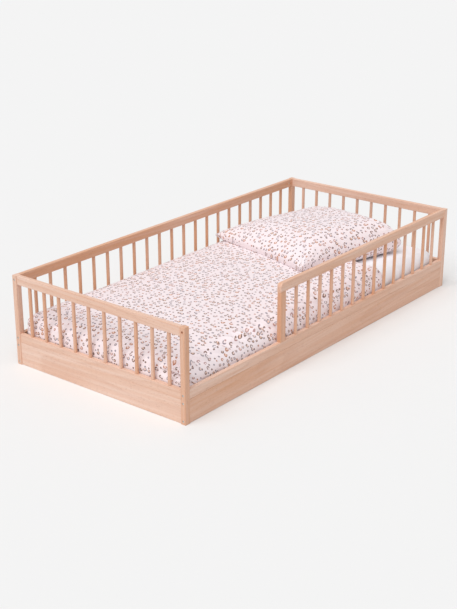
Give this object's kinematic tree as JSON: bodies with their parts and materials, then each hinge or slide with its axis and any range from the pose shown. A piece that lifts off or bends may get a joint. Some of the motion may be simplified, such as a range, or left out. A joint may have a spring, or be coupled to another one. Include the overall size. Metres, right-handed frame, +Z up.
{
  "type": "toddler floor bed",
  "caption": "Low beech floor bed with spindle sides, an entrance gap beside a guard rail, a slatted base, a mattress, a fitted sheet, a printed duvet and a square pillow.",
  "frame": {"origin": "on the floor, under the middle of the bed", "axes": "+X towards the head end, -Y the side with the entrance, +Z up"},
  "size_m": [1.99, 0.944, 0.402],
  "materials": {
    "beech": "clear satin lacquer",
    "pine": "planed, untreated",
    "zinc_plated_steel": "bright zinc plate",
    "polyester_webbing": "woven",
    "mattress_ticking": "woven cover",
    "white_cotton_sheet": "plain weave",
    "printed_cotton": "pale ground with small scattered rings and dots"
  },
  "bodies": {
    "frame": {"back_board": "beech", "back_lower_rail": "beech", "back_spindles": "beech", "back_top_rail": "beech", "barrel_nuts": "zinc_plated_steel", "batten_screws": "zinc_plated_steel", "connector_bolts": "zinc_plated_steel", "foot_back_post": "beech", "foot_board": "beech", "foot_front_post": "beech", "foot_lower_rail": "beech", "foot_spindles": "beech", "foot_top_rail": "beech", "front_board": "beech", "front_lower_rail": "beech", "guard_post": "beech", "guard_spindles": "beech", "guard_top_rail": "beech", "head_back_post": "beech", "head_board": "beech", "head_front_post": "beech", "head_lower_rail": "beech", "head_spindles": "beech", "head_top_rail": "beech", "joint_dowels": "beech", "slat_01": "pine", "slat_02": "pine", "slat_03": "pine", "slat_04": "pine", "slat_05": "pine", "slat_06": "pine", "slat_07": "pine", "slat_08": "pine", "slat_09": "pine", "slat_10": "pine", "slat_11": "pine", "slat_12": "pine", "slat_13": "pine", "slat_14": "pine", "slat_batten_back": "pine", "slat_batten_front": "pine", "slat_screws": "zinc_plated_steel", "slat_tapes": "polyester_webbing"},
    "mattress": {"mattress": "mattress_ticking", "fitted_sheet": "white_cotton_sheet"},
    "duvet": {"duvet": "printed_cotton"},
    "pillow": {"pillow": "printed_cotton"}
  },
  "joints": [
    {"name": "mattress_lift", "type": "slide", "parent": "frame", "child": "mattress", "axis": [0, 0, 1], "range_m": [0, 0.36]},
    {"name": "duvet_lift", "type": "slide", "parent": "mattress", "child": "duvet", "axis": [0, 0, 1], "range_m": [0, 0.3]},
    {"name": "pillow_lift", "type": "slide", "parent": "duvet", "child": "pillow", "axis": [0, 0, 1], "range_m": [0, 0.25]}
  ]
}
